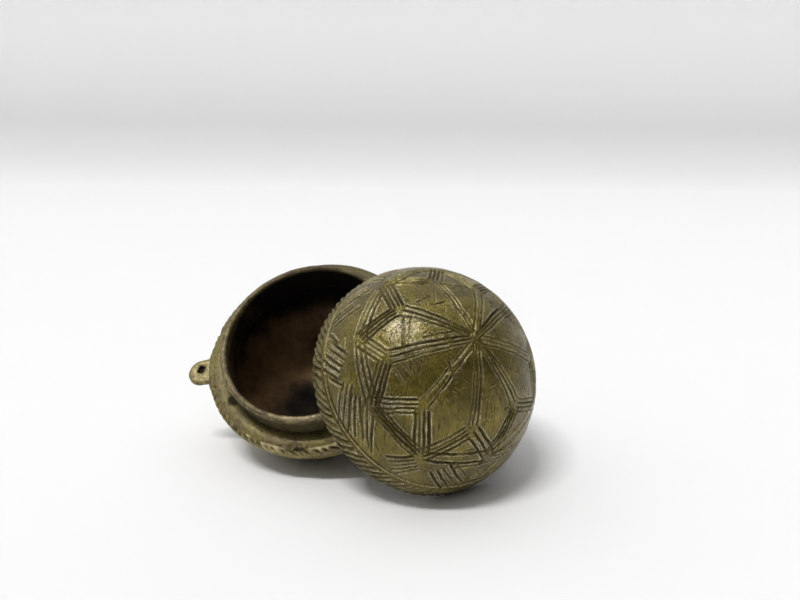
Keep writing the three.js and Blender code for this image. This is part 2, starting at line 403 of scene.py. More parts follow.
# Uneven cast metal: slow swells, small dimples, and knocks at the points of a dents object
def castTree():
    w = bodyTree("castUnevenness", {"Swell": 0.12, "Swell size": 9.0, "Dimple": 0.03, "Dimple size": 1.2,
                                    "Dent depth": 0.35})
    w.takes("Object", {"Dents": None})
    ask = w.node("NodeGroupInput").outputs

    spot = w.position()
    drift = w.vector("ADD", spot, w.node("ShaderNodeCombineXYZ", {"X": ask["Seed"]}).outputs[0])
    swell = w.about(w.noise(drift, w.over(1.0, ask["Swell size"]), 2.0))
    dimple = w.about(w.noise(drift, w.over(1.0, ask["Dimple size"]), 2.0))
    held = w.node("GeometryNodeObjectInfo", {"Object": ask["Dents"]}).outputs["Geometry"]
    distance = w.node("GeometryNodeProximity", {"Geometry": held, "Sample Position": spot},
                      target_element="POINTS").outputs
    size = w.nearest(held, w.field("dentSize"), spot)
    ragged = w.timesPlus(dimple, 1.2, w.over(distance["Distance"], w.most(size, 0.05)))
    dent = w.times(w.bell(w.most(ragged, 0.0)), distance["Is Valid"])
    rise = w.timesPlus(swell, ask["Swell"], w.times(dimple, ask["Dimple"]))
    rise = w.minus(rise, w.times(dent, w.times(size, ask["Dent depth"])))
    return endTree(w, w.push(ask["Body"], w.field("lead", "FLOAT_VECTOR"), rise), ask)


trees = {"chisel": engravingTree(), "rope": ropeTree(), "cast": castTree()}
print("node trees: made")


# Old brass: two tones in patches, brushing, pits, dirt in the cuts, painted shade with some dirt, and bright
# metal on ridges and worn places, partly painted highlight
def brassGroup():
    w = Wiring(bpy.data.node_groups.new("oldBrass", "ShaderNodeTree"))
    w.takes("Vector", {"Place": (0, 0, 0)})
    w.takes("Float", {"Carved": 0.0, "Ridge": 0.0, "Rubbed": 0.0, "Shade_and_dirt": 0.0, "Matted": 0.0,
                      "Patch size": 8.0, "Contrast": 1.0, "Grime": 0.45, "Gloss": 0.4, "Metal": 0.8,
                      "Varnish": 0.25})
    w.takes("Color", {"Tone": (0.2, 0.15, 0.05, 1), "Second tone": (0.15, 0.11, 0.04, 1),
                      "Third tone": (0.2, 0.14, 0.08, 1), "Dirt_and_shade_colour": (0.04, 0.03, 0.01, 1),
                      "Bright": (0.45, 0.38, 0.2, 1)})
    w.gives("Color", "Color")
    w.gives("Float", "Metallic", "Roughness", "Coat", "Height")
    ask = w.node("NodeGroupInput").outputs
    place = ask["Place"]

    tone = w.mix(w.ramp(w.noise(place, w.over(1.0, ask["Patch size"]), 4.0, 0.6), 0.38, 0.62), ask["Tone"],
                 ask["Second tone"])
    blush = w.noise(w.vector("ADD", place, (31.0, 7.0, 19.0)), 0.3, 5.0, 0.66)
    tone = w.mix(w.ramp(blush, 0.48, 0.66, 0.0, 0.6), tone, ask["Third tone"])

    cloud = w.noise(place, 0.5, 5.0, 0.68)
    speck = w.noise(place, 1.9, 4.0, 0.72)
    brushed = w.noise(w.vector("MULTIPLY", place, (2.3, 2.3, 0.2)), 1.0, 4.0, 0.72)
    pits = w.node("ShaderNodeTexVoronoi", {"Vector": place, "Scale": 0.9, "Randomness": 1.0}).outputs
    somePits = w.ramp(w.node("ShaderNodeSeparateColor", {0: pits["Color"]}).outputs[0], 0.62, 0.66)
    pitted = w.times(w.ramp(pits["Distance"], 0.1, 0.24, 1.0, 0.0), somePits)
    scratch = w.noise(w.vector("MULTIPLY", place, (1.7, 1.7, 0.24)), 1.0, 1.0, 0.5)
    scratch = w.times(w.ramp(scratch, 0.64, 0.7), w.ramp(w.noise(place, 0.08, 1.0), 0.42, 0.55))
    tooth = w.node("ShaderNodeTexVoronoi", {"Vector": place, "Scale": 1.5, "Randomness": 0.7}).outputs
    tooth = w.times(w.ramp(tooth["Distance"], 0.15, 0.5, 0.6, -0.9, "LINEAR"), ask["Matted"])

    swing = w.plus(w.ramp(cloud, 0.25, 0.75, -0.36, 0.36, "LINEAR"),
                   w.ramp(brushed, 0.3, 0.7, -0.3, 0.3, "LINEAR"))
    swing = w.plus(swing, w.ramp(speck, 0.3, 0.7, -0.24, 0.24, "LINEAR"))
    swing = w.plus(swing, w.times(tooth, 0.5))
    light = w.most(w.timesPlus(swing, ask["Contrast"], 1.0), 0.2)
    lit = w.vector("SCALE", tone, scale=light)

    grime = w.times(w.ramp(w.noise(place, 0.85, 5.0, 0.72), 0.5, 0.68), ask["Grime"])
    grime = w.most(w.most(grime, w.times(pitted, 0.5)), w.times(scratch, 0.75))
    cutDirt = w.ramp(w.timesPlus(w.about(speck), 0.7, ask["Carved"]), 0.1, 0.85)
    # painted shade, with some dirt, where the mesh's field asks for it
    shade_and_dirt = w.ramp(w.timesPlus(w.about(cloud), 0.8, ask["Shade_and_dirt"]), 0.12, 0.85)
    dirtAndShade = w.most(w.most(w.times(cutDirt, 0.9), shade_and_dirt), grime)
    color = w.mix(dirtAndShade, lit, ask["Dirt_and_shade_colour"])

    # ridges, notch tops and worn places are painted bright: worn metal and painted highlight
    brightWearAndHighlight = w.times(ask["Ridge"], w.ramp(speck, 0.34, 0.64, 0.08, 0.95))
    wearAndHighlight = w.timesPlus(w.about(cloud), 0.9, ask["Rubbed"])
    wearAndHighlight = w.timesPlus(w.about(brushed), 0.9, wearAndHighlight)
    wearAndHighlight = w.ramp(w.timesPlus(w.about(speck), 0.5, wearAndHighlight), 0.35, 0.85, 0.0, 0.8)
    wearAndHighlight = w.times(wearAndHighlight, w.minus(1.0, cutDirt))
    clean = w.minus(1.0, dirtAndShade)
    brightWearAndHighlight = w.most(w.times(brightWearAndHighlight, clean), wearAndHighlight)

    rough = w.plus(w.timesPlus(dirtAndShade, 0.3, ask["Gloss"]), w.ramp(brushed, 0.3, 0.7, -0.09, 0.11, "LINEAR"))
    height = w.timesPlus(brushed, 1.4, w.times(speck, 0.35))
    height = w.timesPlus(scratch, -1.0, w.timesPlus(pitted, -0.5, height))
    w.node("NodeGroupOutput", {
        "Color": w.mix(brightWearAndHighlight, color, ask["Bright"]),
        "Metallic": w.times(w.timesPlus(dirtAndShade, -0.7, 1.0), ask["Metal"]),
        "Roughness": w.timesPlus(brightWearAndHighlight, -0.06, rough),
        "Coat": w.times(clean, ask["Varnish"]),
        "Height": w.timesPlus(tooth, 0.8, height)})
    return w.tree


# Dark inside: reddish brown film with darker clouds and a few dull specks, a painted pool of light in
# brighter brown, and black painted shade
def darkGroup():
    w = Wiring(bpy.data.node_groups.new("darkInside", "ShaderNodeTree"))
    w.takes("Vector", {"Place": (0, 0, 0)})
    w.takes("Float", {"Shade_and_dirt": 0.0, "Rubbed": 0.0, "Gloss": 0.45})
    w.takes("Color", {"Painted_light_colour": (0.42, 0.25, 0.11, 1), "Film": (0.2, 0.118, 0.054, 1),
                      "Cloud": (0.055, 0.031, 0.018, 1), "Speck": (0.11, 0.08, 0.05, 1),
                      "Black": (0.004, 0.003, 0.002, 1)})
    w.gives("Color", "Color")
    w.gives("Float", "Metallic", "Roughness", "Height")
    ask = w.node("NodeGroupInput").outputs
    cloud = w.noise(ask["Place"], 0.11, 5.0, 0.62)
    speck = w.noise(ask["Place"], 1.6, 3.0, 0.6)
    color = w.mix(w.ramp(cloud, 0.35, 0.68), ask["Film"], ask["Cloud"])
    color = w.mix(w.ramp(speck, 0.66, 0.78, 0.0, 0.5), color, ask["Speck"])
    # painted light: a brighter brown pool where the mesh's field asks for it
    color = w.mix(w.times(ask["Rubbed"], w.ramp(cloud, 0.3, 0.75, 1.0, 0.45)), color, ask["Painted_light_colour"])
    # painted shade: black where the mesh's field asks for it
    black = w.ramp(w.timesPlus(w.about(cloud), 0.5, ask["Shade_and_dirt"]), 0.05, 0.8)
    rough = w.plus(ask["Gloss"], w.ramp(speck, 0.3, 0.7, -0.06, 0.12, "LINEAR"))
    w.node("NodeGroupOutput", {
        "Color": w.mix(black, color, ask["Black"]),
        "Metallic": w.timesPlus(black, -0.4, 0.4),
        "Roughness": w.timesPlus(black, 0.4, rough),
        "Height": w.plus(w.times(cloud, 1.5), w.times(speck, 0.4))})
    return w.tree


groups = {"brass": brassGroup(), "dark": darkGroup()}


# a material with its wiring, its shader and object coordinates in millimetres
def newMaterial(name):
    made = bpy.data.materials.new(name)
    made.use_nodes = True
    w = Wiring(made.node_tree)
    shader = made.node_tree.nodes["Principled BSDF"]
    place = w.node("ShaderNodeTexCoord").outputs["Object"]
    place = w.node("ShaderNodeMapping", {"Vector": place, "Scale": (1000, 1000, 1000)}).outputs[0]
    return made, w, shader, place


# a material from a group; marks are the group's inputs that fields of the same name in the mesh feed
def groupFinish(name, group, marks, looks, bumpStrength, bumpHeight):
    made, w, shader, place = newMaterial(name)
    inputs = {"Place": place, **looks}
    for mark in marks:
        inputs[mark] = w.node("ShaderNodeAttribute", {}, attribute_name=mark.lower()).outputs["Fac"]
    given = w.node("ShaderNodeGroup", {}, node_tree=groups[group])
    for key, value in inputs.items():
        w.feed(given.inputs[key], value)
    bump = w.node("ShaderNodeBump", {"Height": given.outputs["Height"], "Strength": bumpStrength,
                                     "Distance": bumpHeight})
    w.feed(shader.inputs["Base Color"], given.outputs["Color"])
    w.feed(shader.inputs["Metallic"], given.outputs["Metallic"])
    w.feed(shader.inputs["Roughness"], given.outputs["Roughness"])
    w.feed(shader.inputs["Normal"], bump.outputs[0])
    shader.inputs["Specular IOR Level"].default_value = 0.15
    if "Coat" in given.outputs:
        w.feed(shader.inputs["Coat Weight"], given.outputs["Coat"])
        shader.inputs["Coat Roughness"].default_value = 0.24
    return made


def brassFinish(name, bumpStrength, looks):
    marks = ("Carved", "Ridge", "Rubbed", "Shade_and_dirt", "Matted")
    return groupFinish(name, "brass", marks, looks, bumpStrength, 0.00012)


def darkFinish(name):
    return groupFinish(name, "dark", ("Shade_and_dirt", "Rubbed"), {}, 0.35, 0.0003)


def addTree(piece, tree, finish, values):
    step = piece.modifiers.new(trees[tree].name, "NODES")
    step.node_group = trees[tree]
    inside = finishes.get(finish + "Inside", finishes[finish])
    setInputs(step, {**values, "Finish": finishes[finish], "Inside finish": inside})


# runs the node trees, makes the result a plain mesh and puts it where its half lies
def settle(piece, lie):
    held = bpy.data.meshes.new_from_object(piece.evaluated_get(bpy.context.evaluated_depsgraph_get()))
    piece.modifiers.clear()
    piece.data = held
    held.transform(lieMatrix(lie))
    held.shade_smooth()
    held.set_sharp_from_angle(angle=math.radians(60))
    print(piece.name + ":", len(held.polygons), "faces")
    return piece


def takeAway(helper):
    bpy.data.objects.remove(helper)


def onSphere(station):
    down, turn = np.radians(station)
    return np.array((np.sin(down) * np.cos(turn), np.sin(down) * np.sin(turn), np.cos(down)))


def station(point):
    return math.degrees(math.acos(point[2])), math.degrees(math.atan2(point[1], point[0]))


chainSteps = 12
starBall = 35.0       # radius in mm on which the gaps at knots are measured


# A bundle is (start, end, strokes, width at the start, width at the end, force). Start and end are
# (degrees from the pole, degrees round it) and widths are in mm. The chains lie on a half's outer skin.
def strokeChains(bundles, skin):
    points, edges, marks = [], [], []
    for start, end, count, first, last, force in bundles:
        one, other = onSphere(start), onSphere(end)
        for t in np.linspace(0, 1, chainSteps + 1):
            way = one * (1 - t) + other * t
            way = way / np.linalg.norm(way) * (1, 1, skin.upside)
            if t:
                edges.append((len(points) - 1, len(points)))
            points.append((way * skin.size + skin.middle).tolist())
            marks.append((count, first + (last - first) * t, force))
    mesh = bpy.data.meshes.new("strokes")
    mesh.from_pydata(points, edges, [])
    for label, kind, values in zip(("strokes", "spread", "force"), ("INT", "FLOAT", "FLOAT"), zip(*marks)):
        putField(mesh, label, values, kind)
    return placed("strokes", mesh)


# a bundle between two knots that stops short of each of them by a gap in mm
def between(one, other, count, first, last, gaps):
    a, b = onSphere(one), onSphere(other)
    whole = math.acos(a @ b)
    side = (b - a * math.cos(whole)) / math.sin(whole)
    turns = (gaps[0] / starBall, whole - gaps[1] / starBall)
    ends = [station(a * math.cos(t) + side * math.sin(t)) for t in turns]
    return (*ends, count, first, last, 1.0)


# The star: spokes from the hub to the inner knots, a zigzag from these to the outer knots, and a ring of
# outer knots
def starBundles(star):
    made = []
    inner, outer = star["inner"], star["outer"]
    for k, knot in enumerate(inner):
        before, after = outer[k], outer[(k + 1) % len(outer)]
        made.append(between(star["hub"], knot, *star["spokes"][k], star["hubGaps"]))
        made.append(between(knot, before, star["back"][k], *star["legWidths"], star["legGaps"]))
        made.append(between(knot, after, star["forth"][k], *star["legWidths"], star["legGaps"]))
        made.append(between(before, after, star["ring"][k], *star["ringWidths"], star["ringGaps"]))
    return made


# a points object for knocks: (x, y, z, size) in millimetres
def dentPoints(dents):
    mesh = bpy.data.meshes.new("knocks")
    mesh.from_pydata([d[:3] for d in dents], [], [])
    putField(mesh, "dentSize", [d[3] for d in dents])
    return placed("knocks", mesh)


# ball-shaped or egg-shaped skin; the angle is measured from the pole at the end with the sign of upside
class Skin:
    def __init__(self, wide, tall, centre, upside, flat=None):
        self.wide, self.tall, self.centre, self.upside, self.flat = wide, tall, centre, upside, flat
        self.size, self.middle = (wide, wide, tall), (0, 0, centre)

    def angleAt(self, height):
        return np.arccos((height - self.centre) * self.upside / self.tall)

    def at(self, angle):
        rise = self.tall * np.cos(angle)
        if self.flat:
            rise = np.minimum(rise, self.flat)
        return self.wide * np.sin(angle), self.centre + self.upside * rise

    def lead(self, angle, way=1):
        return way * np.sin(angle) / self.wide, way * self.upside * np.cos(angle) / self.tall


# the border line wavers a little round the body
def borderHeight(angle, spec):
    return spec["border"] + spec["waver"] * (np.sin(3 * angle + 0.7) + 0.6 * np.sin(7 * angle + 2.1))


# one end of a half with its hollow, from its pole down to the border line, or to an angle from the pole
def cappedShell(name, spec, outer, inner, extra, until=None):
    body = Shell()

    # keeps the squares of the cap about the same size from the pole out
    def spread(share, last):
        return np.arccos(1 - share ** 2 * (1 - np.cos(last)))

    def outside(share, angle):
        line = outer.angleAt(borderHeight(angle, spec))
        here = spread(share, until or line)
        radius, height = outer.at(here)
        return body.add(radius, height, angle, outer.lead(here), dress=1.0, border=(line - here) * outer.wide,
                        rim=np.abs(height))

    def hollow(share, angle):
        here = spread(share, until or inner.angleAt(spec["hollowFrom"]))
        return body.add(*inner.at(here), angle, inner.lead(here, -1), inside=1.0)

    edge = body.disc(spec["side"], outside)
    body.thin(edge, body.disc(spec["side"] // 4, hollow))
    return body.build(name, extra)


# how strongly a point is reached by any of some round spots (x, y, z, reach, force)
def nearSpots(points, spots):
    total = np.zeros(len(points))
    for x, y, z, reach, force in spots:
        away = np.linalg.norm(points - np.array((x, y, z)), axis=1) / reach
        total = np.maximum(total, force * np.clip(1.15 - away ** 2, 0, 1))
    return total


# cuts the bundles of a half into one of its pieces; gives back the strokes object
def engrave(piece, finish, bundles, skin, spec):
    lines = strokeChains(bundles, skin)
    addTree(piece, "chisel", finish, {"Strokes": lines, "Ball centre": skin.middle, "Ball size": skin.size,
                                      "Depth": spec["strokeDepth"], "Half width": spec["strokeHalfWidth"],
                                      "Seed": spec["seed"]})
    return lines


def carveRope(piece, finish, spec):
    values = {**spec["rope"], "Line depth": spec["strokeDepth"], "Seed": spec["seed"]}
    addTree(piece, "rope", finish, values)


# Lid
lid = {
    "border": 7.0,         # border line above the rim
    "waver": 0.12,
    "side": 256,           # squares across the cap
    "capAngle": 46,        # degrees from the pole to the seam between cap and band
    "bandRows": 84,
    "hollowFrom": 9.4,
    "hollowRows": 12,
    # the step in the hollow, (radius, height, way out)
    "step": [(28.9, 7.0, (-1, 0)), (28.9, 8.0, (-1, -0.4)), (29.4, 8.5, (-0.7, -0.7)),
             (29.9, 8.95, (-0.7, -0.7))],
    # the rim's underside and the rebate inside it, (radius, height, way out, inside)
    "under": [(33.0, 0.0, (0, -1), 0), (31.5, 0.0, (0, -1), 0), (30.2, 0.0, (0, -1), 0),
              (29.4, 0.0, (-0.3, -1), 0), (29.1, 0.25, (-0.7, -0.7), 0), (28.9, 0.6, (-1, -0.3), 1),
              (28.9, 2.0, (-1, 0), 1), (28.9, 3.7, (-1, 0), 1), (28.9, 5.4, (-1, 0), 1),
              (28.9, 7.0, (-1, 0), 1)],
    "edge": (34.5, 0.476, 0.5),      # rounded edge of the rim: radius of its centre, its width and height
    "flat": 33.9,                    # where the flat underside starts
    "columns": 1024,
    "rows": 32,
    "strokeDepth": 0.5,
    "strokeHalfWidth": 0.47,
    "seed": 7,
    "rope": {"Notches": 84, "High": 6.6, "Slant": 0.34, "Depth": 0.85, "Bulge": 0.2, "Cut share": 0.34},
    "cast": {"Seed": 3, "Dimple": 0.06, "Swell": 0.16},
    # spots are (x, y, z, reach, force)
    # darker places on the dome
    "shade_and_dirt": [(8.0, -6.2, 32.1, 4.5, 0.45), (14.3, -4.9, 30.2, 6.5, 0.4), (9.7, -29.4, 15, 9, 0.3),
             (22, -20, 19, 9, 0.25), (24, -14, 19, 8, 0.25), (12, 20, 26, 10, 0.2), (0, -30, 16, 15, 0.24),
             (20, -24, 14, 13, 0.24), (-9, 18, 25, 13, 0.2), (4, 26, 22, 11, 0.22)],
    # the first worn spot is a painted highlight where the lamps shine on the dome
    "worn": [(-8.2, -16.6, 28.4, 8.0, 0.54), (-10, -28, 17, 9, 0.3), (-16, -25, 17, 8, 0.3)],
    "matted": [(9, -25, 22, 5.5, 1.0), (6, -30, 14.5, 4.5, 1.0), (17, -22, 19, 4.0, 0.7)],
    "knocks": [(8.5, -8.5, 31.3, 1.6), (6.0, -9.6, 31.4, 1.3)],
}
lidSkin = Skin(35.029, 35.029, -1.429, 1)
lidHollow = Skin(32.229, 32.229, -1.429, 1)

# knots are (degrees from the pole, degrees round it); spokes are (strokes, width at the hub, at the knot)
lidStar = {
    "hub": (1.3, 150),
    "inner": [(36.5, -131.5), (40, -93.5), (37.2, -52.5), (38.2, -12), (36, 30.5), (38, 75), (30, 120),
              (33, 148), (36, -174)],
    "outer": [(53, -150), (52, -109), (53.5, -72), (56.2, -35), (53.5, 4.5), (52.5, 51), (52, 95), (52, 134),
              (51.5, 171)],
    "spokes": [(3, 1.4, 3.6), (3, 1.6, 3.6), (2, 1.0, 2.6), (3, 1.5, 2.6), (3, 1.4, 3.2), (3, 2.4, 2.4),
               (3, 1.5, 2.6), (2, 1.5, 2.6), (3, 1.8, 2.2)],
    "hubGaps": (0.7, 0.5),
    "back": [4, 4, 4, 4, 4, 4, 4, 4, 4],
    "forth": [4, 4, 4, 3, 4, 4, 4, 4, 5],
    "legWidths": (3.4, 3.7),
    "legGaps": (0.5, -0.2),
    "ring": [3, 3, 4, 2, 2, 3, 3, 3, 3],
    "ringWidths": (2.6, 3.6),
    "ringGaps": (0.3, 0.3),
}


# short light chisel ticks beside the spokes, square to them
def tickBundles(star, seed, each):
    pick = np.random.default_rng(seed)
    made = []
    for knot in star["inner"]:
        a, b = onSphere(star["hub"]), onSphere(knot)
        across = np.cross(a, b) / np.linalg.norm(np.cross(a, b))
        for _ in range(each):
            share = pick.uniform(0.2, 0.95)
            side = pick.choice((-1, 1)) * pick.uniform(2.6, 4.2) / starBall
            foot = a * (1 - share) + b * share
            lean = (b - a) * pick.uniform(-0.04, 0.04)
            near = foot + across * side
            far = near + across * np.sign(side) * pick.uniform(0.8, 2.0) / starBall + lean
            ends = [station(point / np.linalg.norm(point)) for point in (near, far)]
            made.append((*ends, 1, 0, 0, pick.uniform(0.25, 0.6)))
    return made


lidBundles = starBundles(lidStar) + tickBundles(lidStar, 4, 11) + [
    ((9.5, -129.5), (23.5, -106), 1, 0, 0, 0.9),      # extra strokes beside the spokes
    ((3.5, -29), (17.5, -53.5), 1, 0, 0, 0.8),
    ((25.5, -50), (30.5, -48.5), 1, 0, 0, 0.7),
    ((46.5, -156), (37, -166), 1, 0, 0, 0.8),
    ((34, -177), (32, 151), 1, 0, 0, 0.8),
    ((49, -13.5), (48, -6), 1, 0, 0, 0.6),
    ((33, -127), (31.5, -98), 1, 0, 0, 0.75),         # long scratches by the bright place
    ((30, -129), (29, -104), 1, 0, 0, 0.6),
    ((33.5, -86.5), (32, -73), 1, 0, 0, 0.7),
    ((31, -88), (29, -71), 1, 0, 0, 0.85),
    ((38, -87), (37, -71), 1, 0, 0, 0.6),
    ((31.5, -142), (28.5, -162), 1, 0, 0, 0.6),
    ((25.5, -149), (22, -166), 1, 0, 0, 0.55),
    ((15.5, -69), (18.5, -46), 1, 0, 0, 0.8),
    ((73.5, -7), (58.5, -21.5), 5, 8.4, 7.2, 1),      # hatching between the star and the border
    ((70.5, -44.5), (60.3, -33.8), 5, 6.7, 4.4, 1),
    ((75.4, 5), (69.3, 27), 2, 1.0, 1.4, 0.9),
    ((54, 5.5), (63, 31), 2, 1.0, 1.8, 0.8),
    ((60.5, -89), (73.5, -71.5), 3, 3.1, 4.3, 1),
    ((58.5, -81.5), (72, -63.5), 3, 2.4, 5.2, 1),
    ((56, -75.5), (71, -57.5), 2, 1.3, 1.6, 1),
    ((55, -68.5), (71, -54), 1, 0, 0, 1),
    ((60, -114), (60, -88), 1, 0, 0, 0.4),
    ((60, -147), (74, -131), 3, 3.5, 2.4, 1.3),
    ((58, -135), (72, -122), 3, 4.7, 2.8, 1.3),
    ((73, -117), (64.5, -110), 1, 0, 0, 1.6),
    ((74, -107.5), (61.5, -96.5), 5, 7.8, 7.2, 1.35),
    ((72, -95.5), (63.5, -87), 1, 0, 0, 1.5),
    ((58.5, -16), (61, 24.5), 1, 0, 0, 1),
    ((61, 24.5), (66, 35), 1, 0, 0, 1),
    ((53.5, 8.5), (54.5, 24), 1, 0, 0, 0.9),
    ((74.5, 7.5), (63.5, 18.5), 3, 6.9, 6.2, 1),
    ((66.5, -3), (65, 5), 3, 3.3, 4.0, 0.9),
    ((65, 32), (62.5, 44), 2, 1.2, 1.4, 1),
    ((27, 118), (43, 117), 4, 2.8, 3.6, 1.2),
    ((59, 52), (74, 66), 5, 7.2, 7.6, 1),             # the same carried on round the side that isn't seen
    ((74, 72), (60, 84), 5, 7.4, 6.8, 1),
    ((59, 98), (73.5, 110), 5, 7.0, 7.8, 1),
    ((74, 117), (60, 128), 4, 6.2, 5.8, 1),
    ((60, 137), (74, 150), 5, 6.8, 7.6, 1),
    ((74, 157), (60, 170), 5, 7.4, 6.8, 1),
    ((60.5, -163), (73, -158), 5, 8.6, 8.0, 1.5),
    ((24, -151), (31, -167), 1, 0, 0, 0.35),          # fine scratches
    ((33, -124.5), (32, -96.5), 1, 0, 0, 0.5),
    ((29.5, -125), (29, -108.5), 1, 0, 0, 0.45),
    ((29, -106.5), (29, -100.5), 1, 0, 0, 0.55),
    ((22, -129.5), (21.5, -118.5), 1, 0, 0, 0.4),
    ((30, -161), (31, -141.5), 1, 0, 0, 0.35),
    ((31, -91), (30.5, -77.5), 1, 0, 0, 0.5),
    ((28.5, -90.5), (29, -72.5), 1, 0, 0, 0.45),
    ((26.5, -125.5), (26, -119), 1, 0, 0, 0.35),
    ((35, -113.5), (35, -107), 1, 0, 0, 0.35),
    ((24.5, -85.5), (23.5, -74.5), 1, 0, 0, 0.35),
    ((17, -7.5), (21.5, -4), 1, 0, 0, 0.4),
    ((21.5, 1.5), (21.5, 17), 1, 0, 0, 0.4),
    ((24.5, -5.5), (23.5, 10.5), 1, 0, 0, 0.35),
    ((29, -19), (34, -15), 1, 0, 0, 0.35),
    ((29.5, -49.5), (31, -43.5), 1, 0, 0, 0.35),
    ((31.5, -34.5), (35.5, -29), 1, 0, 0, 0.35),
]


# the lid gets darker towards its low part all round
def lidMarks(points):
    low = np.clip((11.0 - points[:, 2]) / 9, 0, 1) * 0.5
    return {"rubbed": nearSpots(points, lid["worn"]), "shade_and_dirt": np.maximum(nearSpots(points, lid["shade_and_dirt"]), low),
            "matted": nearSpots(points, lid["matted"])}


def ageLid(piece):
    knocks = dentPoints(lid["knocks"])
    addTree(piece, "cast", "lid", {"Dents": knocks, **lid["cast"]})
    settle(piece, lidLie)
    takeAway(knocks)
    return piece


def engraveLid(piece):
    lines = engrave(piece, "lid", lidBundles, lidSkin, lid)
    ageLid(piece)
    takeAway(lines)
    return piece


def makeLidDome():
    until = math.radians(lid["capAngle"])
    return engraveLid(cappedShell("lidDome", lid, lidSkin, lidHollow, lidMarks, until))


# the engraved band of the dome between its cap and the border line
def makeLidBand():
    body = Shell()
    fine, coarse = loopAngles(lid["columns"]), loopAngles(lid["columns"] // 4)
    first = math.radians(lid["capAngle"])
    line = lidSkin.angleAt(borderHeight(fine, lid))
    rings = []
    for share in np.arange(lid["bandRows"] + 1) / lid["bandRows"]:
        here = first + (line - first) * share
        radius, height = lidSkin.at(here)
        rings.append(body.add(radius, height, fine, lidSkin.lead(here), dress=1.0,
                              border=(line - here) * lidSkin.wide, rim=height))
    hollowLine = lidHollow.angleAt(lid["hollowFrom"])
    inner = [body.add(r, z, coarse, lead, inside=1.0) for r, z, lead in lid["step"]]
    for row in range(lid["hollowRows"], -1, -1):
        here = first + (hollowLine - first) * row / lid["hollowRows"]
        inner.append(body.add(*lidHollow.at(here), coarse, lidHollow.lead(here, -1), inside=1.0))
    body.bridge(rings)
    body.bridge(inner)
    body.thin(rings[-1], inner[0])
    body.thin(rings[0], inner[-1])
    return engraveLid(body.build("lidBand", lidMarks))


# the rope edge, its rounded foot, the flat underside and the rebate that fits over the collar
def makeLidRim():
    body = Shell()
    fine, coarse = loopAngles(lid["columns"]), loopAngles(lid["columns"] // 4)
    centre, wide, tall = lid["edge"]
    top = borderHeight(fine, lid)
    line = lidSkin.angleAt(top)
    rings = []
    for share in np.arange(lid["rows"] + 1) / lid["rows"]:
        height = top + (tall - top) * share
        here = lidSkin.angleAt(height)
        rings.append(body.add(lidSkin.at(here)[0], height, fine, lidSkin.lead(here), dress=1.0,
                              border=(line - here) * lidSkin.wide, rim=height))
    for turn in (30, 60, 90):
        a = math.radians(turn)
        height = tall - tall * math.sin(a)
        rings.append(body.add(centre + wide * math.cos(a), height, fine, (math.cos(a), -math.sin(a)),
                              dress=1.0 - turn / 90, border=-8.0, rim=height))
    rings.append(body.add(lid["flat"], 0.0, fine, (0, -1)))
    body.bridge(rings)
    low = [body.add(r, z, coarse, lead, inside=mark) for r, z, lead, mark in lid["under"]]
    body.thin(rings[-1], low[0])
    body.bridge(low)
    body.thin(rings[0], low[-1])
    rim = body.build("lidRim", lidMarks)
    carveRope(rim, "lid", lid)
    return ageLid(rim)


# Bowl
bowl = {
    "border": -8.0,        # border line below the shoulder
    "waver": 0.12,
    "side": 300,           # squares across the cap
    "hollowFrom": -8.0,
    "columns": 1200,
    "rows": 28,
    "edge": (33.5, 1.46, -2.1, 1.5),       # rounded edge: radius of its centre, width, lowest height, rise
    "ledge": (33.5, 28.2, 26),             # the ledge from its outside in, and its rings
    "crest": (31.5, -0.2, 0.1, -0.95),     # its highest ring: radius, height, fall beside it, lowest height
    # the inside from the ledge down to the hollow, (radius, height, way out, inside)
    "under": [(28.2, -2.7, (-1, 0), 1), (26.6, -2.7, (0, 1), 1), (26.6, -3.2, (-1, 0), 1),
              (26.65, -3.6, (-0.7, -0.7), 1), (27.7, -3.95, (-0.3, -1), 1), (28.95, -4.3, (-0.5, -0.9), 1),
              (30.3, -5.1, (-0.8, -0.5), 1), (31.2, -6.4, (-1, -0.1), 1), (30.95, -7.4, (-1, 0.2), 1)],
    "strokeDepth": 0.5,
    "strokeHalfWidth": 0.47,
    "seed": 11,
    "rope": {"Notches": 84, "Low": 0.85, "High": 5.8, "Slant": 0.5, "Depth": 1.1, "Bulge": 0.22,
             "Cut share": 0.35},
    "cast": {"Seed": 5, "Dimple": 0.06, "Swell": 0.2, "Swell size": 7.0},
    # on the shoulder: degrees round, mm in from the edge (along the curve), half length, half width, force
    "worn": [(351.5, -0.3, 5.2, 2.7, 0.95), (17, 0.3, 4.4, 2.0, 0.85), (24, 1.3, 3.4, 2.3, 0.9),
             (337, 0.6, 1.2, 0.6, 0.7), (320, 1.0, 0.8, 0.5, 0.6), (326, 0.3, 0.8, 0.5, 0.6),
             (300, 0.6, 5.0, 0.7, 0.3), (5, -2.5, 14, 1.4, 0.4)],
    "dull": [(6.5, 0.5, 2.8, 1.1, 0.8), (314, 5.0, 3.0, 1.4, 0.8)],
    "painted_light": [(-11, -19, -21, 11, 1.0)],        # painted light and painted shade in the hollow: a brown pool of light and dark places
    "shade": [(8, -8, -28, 12, 0.75), (18, -4, -23, 12, 0.5)],
    "paler": 300,               # degrees round where the painted shade in the hollow is lightest
    "boss": (288, 17, 1.1),     # degrees round, half length in degrees, rise
    # knocks: degrees round, distance from the axis, height, size
    "knocks": [(314, 30.0, -0.1, 1.5), (316, 29.6, -0.3, 1.2), (6, 33.9, -0.7, 2.4), (3, 33.4, -0.6, 1.6),
               (265, 34.4, -0.9, 1.6), (330, 34.2, -0.8, 1.5), (300, 33.6, -0.6, 1.1)],
}
bowlSkin = Skin(35.0, 33.0, 0.0, -1, flat=32.59)
bowlHollow = Skin(32.0, 30.0, 0.0, -1)


def roundAxis(points):
    return np.hypot(points[:, 0], points[:, 1]), np.degrees(np.arctan2(points[:, 1], points[:, 0]))


